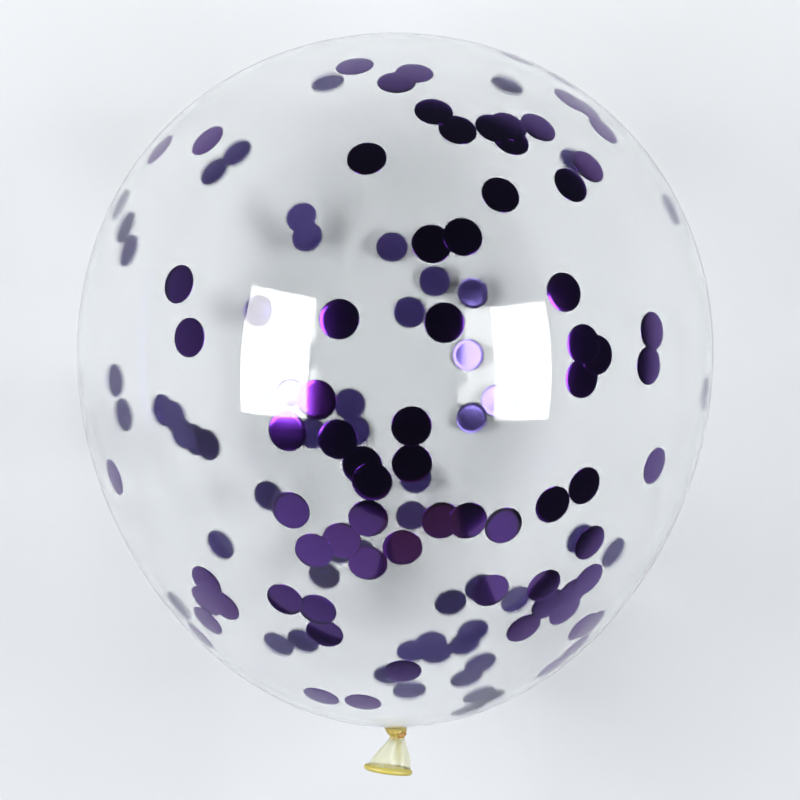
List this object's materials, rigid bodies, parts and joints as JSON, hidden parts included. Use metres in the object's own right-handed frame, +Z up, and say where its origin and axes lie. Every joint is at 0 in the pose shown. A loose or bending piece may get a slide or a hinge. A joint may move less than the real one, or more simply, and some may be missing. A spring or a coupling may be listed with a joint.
{
  "type": "confetti balloon",
  "caption": "Clear egg-shaped latex balloon with loose round purple foil confetti inside, tied off with a knot in its own neck, lying on its side.",
  "frame": {"origin": "centre of the flat spot on the underside of the body, under its widest ring", "axes": "+Z up from the surface that it lies on, +Y along the balloon from the neck to the crown, +X across it"},
  "size_m": [0.266, 0.3113, 0.2645],
  "materials": {
    "clear_latex": "clear stretched latex film, glossy, thicker and straw yellow at the knot, the tail and the lip",
    "confetti_foil": "purple metallised foil, mirror gloss, shown a little duller on the side that faces the inside, which is a guess"
  },
  "bodies": {
    "root": {"balloon": "clear_latex"}
  },
  "joints": []
}
